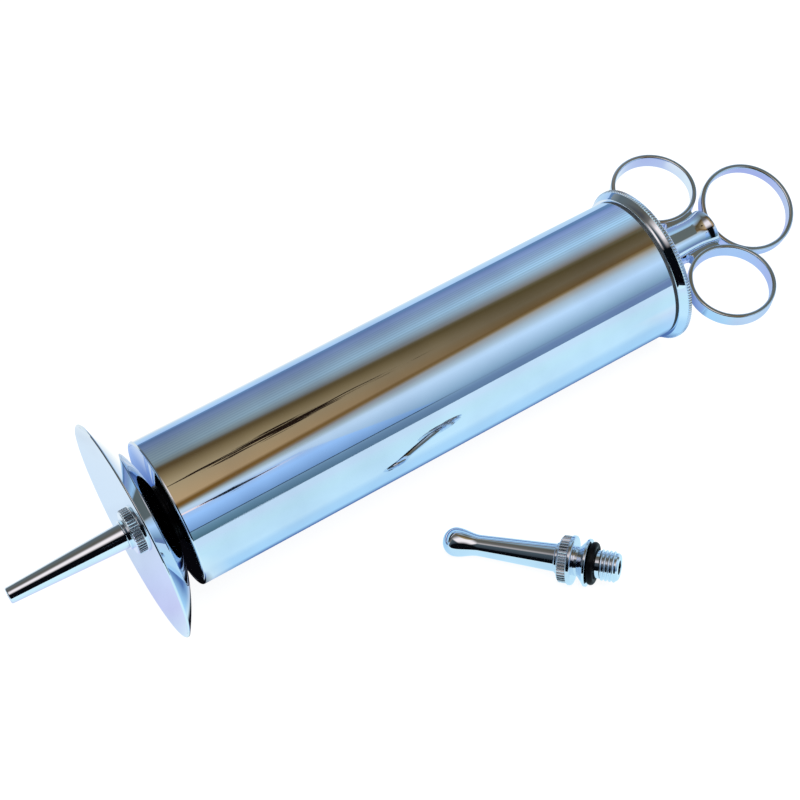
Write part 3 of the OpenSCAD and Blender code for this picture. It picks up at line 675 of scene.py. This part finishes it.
def apart(tree, value, place):
    """How far a value lies from a place, on either side"""
    return maths(tree, "ABSOLUTE", maths(tree, "SUBTRACT", value, place))


def both(tree, first, second):
    """How far two shares, from 0 to 1, hold together"""
    return maths(tree, "MULTIPLY", first, second)


def glow(tree, colour, strength=1.0):
    """Light of a colour, whatever falls on the surface"""
    light = tree.nodes.new("ShaderNodeEmission")
    feed(tree, light.inputs["Strength"], strength)
    feed(tree, light.inputs["Color"], colour)
    return light.outputs["Emission"]


def mixed(tree, factor, first, second):
    """A surface that goes from first to second as the factor goes from 0 to 1"""
    node = tree.nodes.new("ShaderNodeMixShader")
    for socket, value in zip(node.inputs, (factor, first, second)):
        feed(tree, socket, value)
    return node.outputs["Shader"]


# The paper as the plating shows it, its light and shade painted into its colour for reflected rays: white on
# the far side by the nozzle's end, bluer towards the cap's end and near at hand, pale blue to violet under
# the nozzle, with painted shade on its far edge. A painted shadow of the syringe lies under the barrel and
# the rings, and is deepest under the gap between shield and barrel.
finish = bpy.data.materials.new("studio_paper")
finish.use_nodes = True
tree = finish.node_tree
tree.nodes.remove(tree.nodes["Principled BSDF"])
glossy = tree.nodes.new("ShaderNodeLightPath").outputs["Is Glossy Ray"]
where = tree.nodes.new("ShaderNodeTexCoord").outputs["Object"]
split = tree.nodes.new("ShaderNodeSeparateXYZ")
tree.links.new(where, split.inputs["Vector"])
down = maths(tree, "SUBTRACT", split.outputs["X"], front_x * mm)
across = maths(tree, "SUBTRACT", split.outputs["Y"], axis_y * mm)
spread = maths(tree, "ADD", across, maths(tree, "MULTIPLY", down, 0.55))
far_paper = bands(tree, spread, 0.08, 0.42,
                  (0.08, seen(255, 255, 255)), (0.097, seen(250, 255, 255)), (0.142, seen(205, 225, 245)),
                  (0.175, seen(180, 215, 245)), (0.42, seen(165, 200, 245)))
# On the near side the paper is pale blue, with a painted darker shade close beside the barrel.
near_paper = bands(tree, maths(tree, "ABSOLUTE", across), 0.02, 0.25,
                   (0.02, seen(160, 210, 250)), (0.034, seen(170, 215, 250)), (0.045, seen(190, 230, 255)),
                   (0.10, seen(190, 230, 250)), (0.25, seen(195, 225, 250)))
cloth = blended(tree, between(tree, across, -0.008, 0.008), near_paper, far_paper)

# Painted shade, dark blue, on the paper's far side towards the cap's end.
edge = maths(tree, "ADD", across, maths(tree, "MULTIPLY", down, 3.0))
painted_far_edge_shade = both(tree, between(tree, edge, 0.90, 0.96), between(tree, across, 0.08, 0.12))
cloth = blended(tree, painted_far_edge_shade, cloth, seen(95, 130, 175))

# In front of the barrel the paper is pale blue, with a painted violet shade right under the nozzle.
nozzle_paper = bands(tree, across, -0.06, 0.12,
                     (-0.06, seen(205, 240, 255)), (-0.018, seen(200, 230, 250)),
                     (-0.002, seen(195, 205, 245)), (0.010, seen(200, 215, 250)),
                     (0.026, seen(210, 230, 250)), (0.12, seen(215, 230, 240)))
cloth = blended(tree, between(tree, down, 0.012, 0.004), cloth, nozzle_paper)

# Painted shadow, dark blue, on the paper under the barrel, fading in over its first 20 mm.
painted_barrel_shadow = between(tree, maths(tree, "ABSOLUTE", across), 0.014, 0.022, 1, 0)
cloth = blended(tree, both(tree, painted_barrel_shadow, between(tree, down, 0, 0.02)), cloth, seen(80, 115, 175))

# Painted shadow of the finger rings: a darker violet-blue strip on the paper under them and behind.
painted_ring_shadow = bands(tree, across, -0.06, 0.06,
                   (-0.06, seen(205, 230, 250)), (-0.02, seen(165, 200, 245)), (0.005, seen(165, 180, 235)),
                   (0.025, seen(185, 205, 240)), (0.045, seen(215, 235, 250)))
painted_ring_shadow_mask = both(tree, between(tree, down, 0.166, 0.176),
                between(tree, maths(tree, "ABSOLUTE", across), 0.05, 0.07, 1, 0))
cloth = blended(tree, painted_ring_shadow_mask, cloth, painted_ring_shadow)

# Painted shadow, near black, on the paper under the gap between shield and barrel, bluer at its sides.
painted_gap_shadow_mask = both(tree, between(tree, apart(tree, down, -0.004), 0.005, 0.009, 1, 0),
              between(tree, apart(tree, across, 0.010), 0.044, 0.050, 1, 0))
painted_gap_shadow = bands(tree, across, -0.05, 0.06,
                   (-0.04, seen(140, 175, 230)), (-0.030, seen(70, 100, 170)), (-0.022, seen(15, 20, 40)),
                   (-0.012, seen(5, 5, 10)), (0.026, seen(5, 5, 10)), (0.036, seen(70, 105, 180)),
                   (0.055, seen(160, 195, 250)))
cloth = blended(tree, painted_gap_shadow_mask, cloth, painted_gap_shadow)

paper_colour, shadow_share = (0.85, 0.87, 0.9, 1), 0.16
matt = tree.nodes.new("ShaderNodeBsdfDiffuse")
matt.inputs["Color"].default_value = paper_colour
shown = mixed(tree, shadow_share, glow(tree, (1, 1, 1), 1.06), matt.outputs["BSDF"])
# For reflected rays the paper glows in these painted colours; for the camera it is white with a faint real
# shadow.
tree.links.new(mixed(tree, glossy, shown, glow(tree, cloth)), tree.nodes["Material Output"].inputs["Surface"])
half = 4
floor_corners = [(-half, -half, 0), (half, -half, 0), (half, half, 0), (-half, half, 0)]
floor_mesh = bpy.data.meshes.new("floor")
floor_mesh.from_pydata(floor_corners, [], [(0, 1, 2, 3)])
floor_mesh.materials.append(finish)
floor = bpy.data.objects.new("floor", floor_mesh)
scene.collection.objects.link(floor)

lamp_light = bpy.data.lights.new("soft_lamp", "AREA")
lamp_light.shape, lamp_light.size, lamp_light.energy = "DISK", 0.9, 14
lamp = bpy.data.objects.new("soft_lamp", lamp_light)
lamp.location = (0.1, -0.3, 1.1)
lamp.rotation_euler = (radians(16), radians(5), 0)
lamp.visible_glossy = False
scene.collection.objects.link(lamp)

# The tent, by where a reflected ray goes: its reach along the syringe's axis, positive towards the cap, and
# its angle round that axis in degrees, from 0 on the far side over the top to 180 on the near side.
world = bpy.data.worlds.new("tent")
scene.world = world
world.use_nodes = True
tree = world.node_tree
plain = tree.nodes["Background"]
plain.inputs["Color"].default_value = (1, 1, 1, 1)
ray = tree.nodes.new("ShaderNodeTexCoord").outputs["Generated"]


def along(direction):
    """How far a ray points along a direction"""
    node = tree.nodes.new("ShaderNodeVectorMath")
    node.operation = "DOT_PRODUCT"
    tree.links.new(ray, node.inputs[0])
    node.inputs[1].default_value = direction
    return node.outputs["Value"]


reach, off, rise = (along(direction) for direction in laid.to_3x3().col)
round_axis = maths(tree, "MULTIPLY", maths(tree, "ARCTAN2", rise, off), degrees(1))
round_axis = maths(tree, "ADD", round_axis, between(tree, round_axis, -90.01, -90, 360, 0))
towards_cap = between(tree, reach, 0.14, 0.44)

# Its cloth at the nozzle's end and at the cap's end, with the weave showing on the far side
nozzle_end = bands(tree, round_axis, -40, 200,
                   (-8, seen(85, 110, 150)), (3, seen(105, 125, 160)), (20, seen(120, 140, 155)),
                   (38, seen(125, 145, 155)), (46, seen(110, 120, 120)), (53, seen(75, 65, 45)),
                   (112, seen(105, 75, 40)), (117, seen(140, 150, 145)), (122, seen(185, 210, 235)),
                   (150, seen(140, 175, 210)), (158, seen(100, 140, 165)), (173, seen(60, 95, 110)),
                   (176, seen(190, 225, 250)))
cap_end = bands(tree, round_axis, -40, 200,
                (-16, seen(95, 125, 180)), (0, seen(130, 155, 205)), (18, seen(145, 175, 210)),
                (35, seen(170, 215, 250)), (58, seen(130, 135, 140)), (64, seen(100, 90, 70)),
                (98, seen(120, 105, 75)), (102, seen(155, 150, 140)), (112, seen(170, 195, 215)),
                (126, seen(185, 220, 255)), (150, seen(130, 165, 195)), (160, seen(105, 130, 175)),
                (171, seen(100, 130, 170)), (173, seen(180, 210, 250)))
folds = blended(tree, towards_cap, nozzle_end, cap_end)
weave_step = 4.7
weave = maths(tree, "SINE", maths(tree, "MULTIPLY", round_axis, 2 * pi / weave_step))
thick = both(tree, between(tree, weave, -0.6, 1, 0, 0.3), between(tree, round_axis, 38, 50, 1, 0))
folds = blended(tree, both(tree, thick, between(tree, round_axis, 2, 6, 0.2, 1)), folds, seen(75, 100, 130))

# Its open top: a brown room above, seen through a slot that narrows towards the cap's end
slot_half = between(tree, reach, 0.13, 0.52, 32.5, 12)
slot_middle = between(tree, reach, 0.13, 0.44, 83.5, 82)
slot_at = maths(tree, "DIVIDE", maths(tree, "SUBTRACT", round_axis, slot_middle), slot_half)
light_room = bands(tree, slot_at, -1.2, 1.2,
                   (-0.9, seen(85, 70, 45)), (-0.5, seen(135, 120, 90)), (-0.1, seen(165, 150, 120)),
                   (0.75, seen(180, 155, 120)), (0.9, seen(110, 80, 35)))
dark_room = bands(tree, slot_at, -1.2, 1.2,
                  (-1.0, seen(90, 85, 65)), (-0.8, seen(80, 70, 45)), (0.2, seen(100, 90, 70)),
                  (0.85, seen(100, 80, 50)), (1.05, seen(130, 115, 85)))
room = blended(tree, between(tree, reach, 0.13, 0.38), light_room, dark_room)
folds = blended(tree, between(tree, maths(tree, "ABSOLUTE", slot_at), 0.98, 1.14, 1, 0), folds, room)

# A torn dark gap in that room, with ragged ends
gap_middle, gap_half, gap_angle, gap_thick = 0.222, 0.082, 83, 5.6
torn = tree.nodes.new("ShaderNodeCombineXYZ")
tree.links.new(maths(tree, "MULTIPLY", reach, 20), torn.inputs["X"])
tree.links.new(maths(tree, "MULTIPLY", round_axis, 0.55), torn.inputs["Y"])
fray = grain(tree, torn.outputs["Vector"], 1)
from_middle = maths(tree, "DIVIDE", maths(tree, "SUBTRACT", reach, gap_middle), gap_half)
inside = maths(tree, "SUBTRACT", 1.0, maths(tree, "ABSOLUTE", from_middle))
off_gap = apart(tree, round_axis, gap_angle)
gap = maths(tree, "SUBTRACT", maths(tree, "MULTIPLY", inside, gap_thick), off_gap)
gap = maths(tree, "ADD", gap, between(tree, fray, 0.38, 0.62, -3.4, 1.6))
folds = blended(tree, between(tree, gap, -0.1, 0.5), folds, seen(30, 20, 15))

# A loose flap of blue cloth low on the near side. Its upper edge is creased and pale, with a small tear, and
# a dark seam runs beneath it.
flap_edge = between(tree, reach, 0.225, 0.32, 125, 156)
flap = both(tree, between(tree, maths(tree, "SUBTRACT", round_axis, flap_edge), 0, 1.5),
            between(tree, round_axis, 154.4, 155, 1, 0))
flap_blue = bands(tree, round_axis, 125, 156,
                  (125, seen(160, 190, 230)), (136, seen(150, 195, 250)), (156, seen(110, 150, 200)))
folds = blended(tree, flap, folds, flap_blue)
crease = apart(tree, round_axis, between(tree, reach, 0.12, 0.21, 126, 129))
pale = both(tree, between(tree, crease, 0.7, 1.6, 1, 0), between(tree, reach, 0.17, 0.23, 1, 0))
folds = blended(tree, pale, folds, seen(230, 220, 230))
tear_middle, tear_half, tear_thick = 0.18, 0.035, 3.0
tear = maths(tree, "SUBTRACT", 1.0, maths(tree, "DIVIDE", apart(tree, reach, tear_middle), tear_half))
tear = maths(tree, "SUBTRACT", maths(tree, "MULTIPLY", tear, tear_thick), crease)
tear = maths(tree, "ADD", tear, between(tree, fray, 0.38, 0.62, -2.4, 0.6))
folds = blended(tree, between(tree, tear, -0.1, 0.4), folds, seen(25, 35, 50))
seam = both(tree, between(tree, apart(tree, round_axis, 155), 0.35, 0.75, 1, 0),
            between(tree, reach, 0.30, 0.33, 1, 0.2))
folds = blended(tree, seam, folds, seen(35, 55, 75))

# Beyond the nozzle's end the tent is open: a grey wall that darkens on the far side and is pale near the
# table, a bright window above, and the dark room on the near side.
wall = bands(tree, round_axis, -40, 200,
             (-20, seen(145, 160, 170)), (4, seen(90, 105, 115)), (52, seen(90, 90, 85)),
             (66, seen(110, 110, 110)), (76, seen(70, 85, 95)), (104, seen(50, 60, 70)),
             (112, seen(5, 10, 15)), (166, seen(5, 5, 10)), (173, seen(40, 50, 65)),
             (176, seen(190, 225, 250)))
window = both(tree, between(tree, apart(tree, round_axis, 88), 8, 25, 1, 0),
              between(tree, reach, -0.53, -0.42))
far_dark = both(tree, between(tree, reach, -0.4, -0.25, 0.8, 0), between(tree, round_axis, 50, 64, 1, 0))
wall = blended(tree, far_dark, wall, seen(65, 70, 80))
wall = blended(tree, window, wall, seen(240, 235, 240))
low = both(tree, between(tree, reach, -0.86, -0.78, 1, 0), between(tree, round_axis, 8, 30, 1, 0))
wall = blended(tree, low, wall, seen(200, 235, 250))
folds = blended(tree, between(tree, reach, 0.06, 0.125, 1, 0), folds, wall)

# Past the cap's end a grey wall shows beside the slot, and across it further on
beyond = apart(tree, round_axis, between(tree, reach, 0.49, 0.50, 58, 76))
beyond = maths(tree, "SUBTRACT", beyond, between(tree, reach, 0.49, 0.50, 14, 28))
beyond = both(tree, between(tree, reach, 0.455, 0.49), between(tree, beyond, 0, 5, 1, 0))
folds = blended(tree, beyond, folds, seen(95, 105, 105))

tent = tree.nodes.new("ShaderNodeBackground")
tree.links.new(folds, tent.inputs["Color"])
glossy = tree.nodes.new("ShaderNodeLightPath").outputs["Is Glossy Ray"]
tree.links.new(mixed(tree, glossy, plain.outputs["Background"], tent.outputs["Background"]),
               tree.nodes["World Output"].inputs["Surface"])
